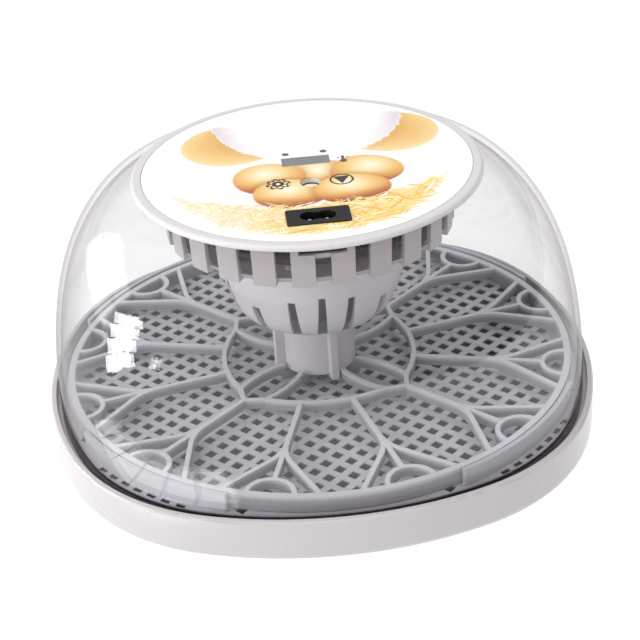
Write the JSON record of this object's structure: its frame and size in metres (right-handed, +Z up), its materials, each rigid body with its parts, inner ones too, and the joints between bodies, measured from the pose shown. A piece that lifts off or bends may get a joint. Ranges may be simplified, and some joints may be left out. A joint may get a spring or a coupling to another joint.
{
  "type": "egg incubator",
  "caption": "Table-top egg incubator: rounded white base, slotted floor, turning egg divider, clear dome and a round heated head with slotted basket, keys, display and mains inlet.",
  "frame": {"origin": "on the table under the axis of the dome and the egg turner", "axes": "+Z up along the turner's axis, -Y towards the mains inlet at the front, +X to the right"},
  "size_m": [0.295, 0.295, 0.1444],
  "materials": {
    "base_white": "glossy moulded, rounded edges",
    "foot_rubber": "matt grey rubber",
    "tray_plastic": "satin moulded",
    "floor_grey": "satin moulded, slightly violet grey",
    "turner_grey": "satin moulded, slightly violet grey",
    "dome_clear": "clear moulded plastic, polished",
    "flange_white": "glossy moulded",
    "label_print": "printed gloss film",
    "key_film": "printed gloss film",
    "key_cream": "satin moulded",
    "display_grey": "tinted lens",
    "dark_plastic": "fine moulded grain",
    "lamp_dark": "tinted lamp",
    "pin_metal": "nickel-plated",
    "basket_grey": "satin moulded, warm grey",
    "board_green": "lacquered circuit board",
    "module_dark": "potted block",
    "screw_steel": "zinc-plated",
    "heater_wire": "oxidised resistance wire",
    "heater_stand": "unglazed",
    "probe_steel": "drawn tube",
    "bracket_grey": "satin moulded",
    "motor_steel": "rolled can",
    "shaft_steel": "ground",
    "fan_black": "moulded",
    "bush_white": "acetal"
  },
  "bodies": {
    "base": {"base_shell": "base_white", "rubber_feet": "foot_rubber", "water_tray": "tray_plastic"},
    "floor": {"floor_grid": "floor_grey", "corner_guides": "floor_grey", "turner_bush": "bush_white"},
    "turner": {"egg_turner": "turner_grey"},
    "dome": {"dome_cover": "dome_clear"},
    "head": {"head_flange": "flange_white", "label_panel": "label_print", "key_switches": "module_dark", "display_window": "display_grey", "display_module": "dark_plastic", "indicator_lamps": "lamp_dark", "mains_inlet": "dark_plastic", "inlet_pins": "pin_metal", "control_board": "board_green", "power_module": "module_dark", "buzzer": "module_dark", "board_screws": "screw_steel", "head_basket": "basket_grey", "head_screws": "screw_steel", "fan_bell": "basket_grey", "heating_element": "heater_wire", "heater_stands": "heater_stand", "temperature_probe": "probe_steel", "fan_bracket": "bracket_grey", "bracket_screws": "screw_steel", "fan_motor": "motor_steel", "turner_motor": "motor_steel", "motor_screws": "screw_steel"},
    "set_key": {"set_key": "key_film"},
    "middle_key": {"middle_key": "key_cream"},
    "down_key": {"down_key": "key_film"},
    "fan": {"fan_impeller": "fan_black", "fan_shaft": "shaft_steel"},
    "column": {"drive_column": "basket_grey", "motor_shaft": "shaft_steel"}
  },
  "joints": [
    {"name": "floor_lift", "type": "slide", "parent": "base", "child": "floor", "axis": [0, 0, 1], "range_m": [0, 0.1]},
    {"name": "dome_lift", "type": "slide", "parent": "floor", "child": "dome", "axis": [0, 0, 1], "range_m": [0, 0.14]},
    {"name": "head_lift", "type": "slide", "parent": "dome", "child": "head", "axis": [0, 0, 1], "range_m": [0, 0.12]},
    {"name": "turner_spin", "type": "hinge", "parent": "floor", "child": "turner", "pos_m": [0, 0, 0.02], "axis": [0, 0, 1], "continuous": true},
    {"name": "column_spin", "type": "hinge", "parent": "head", "child": "column", "pos_m": [0, 0, 0.05], "axis": [0, 0, 1], "continuous": true},
    {"name": "fan_spin", "type": "hinge", "parent": "head", "child": "fan", "pos_m": [0, 0, 0.105], "axis": [0, 0, 1], "continuous": true},
    {"name": "set_press", "type": "slide", "parent": "head", "child": "set_key", "axis": [0, 0, -1], "range_m": [0, 0.0006], "stiffness_N_per_m": 350, "springref_m": -0.0003},
    {"name": "middle_press", "type": "slide", "parent": "head", "child": "middle_key", "axis": [0, 0, -1], "range_m": [0, 0.0006], "stiffness_N_per_m": 350, "springref_m": -0.0003},
    {"name": "down_press", "type": "slide", "parent": "head", "child": "down_key", "axis": [0, 0, -1], "range_m": [0, 0.0006], "stiffness_N_per_m": 350, "springref_m": -0.0003}
  ],
  "couplings": [
    {"joint": "column_spin", "follows": "turner_spin", "ratio": 1}
  ]
}
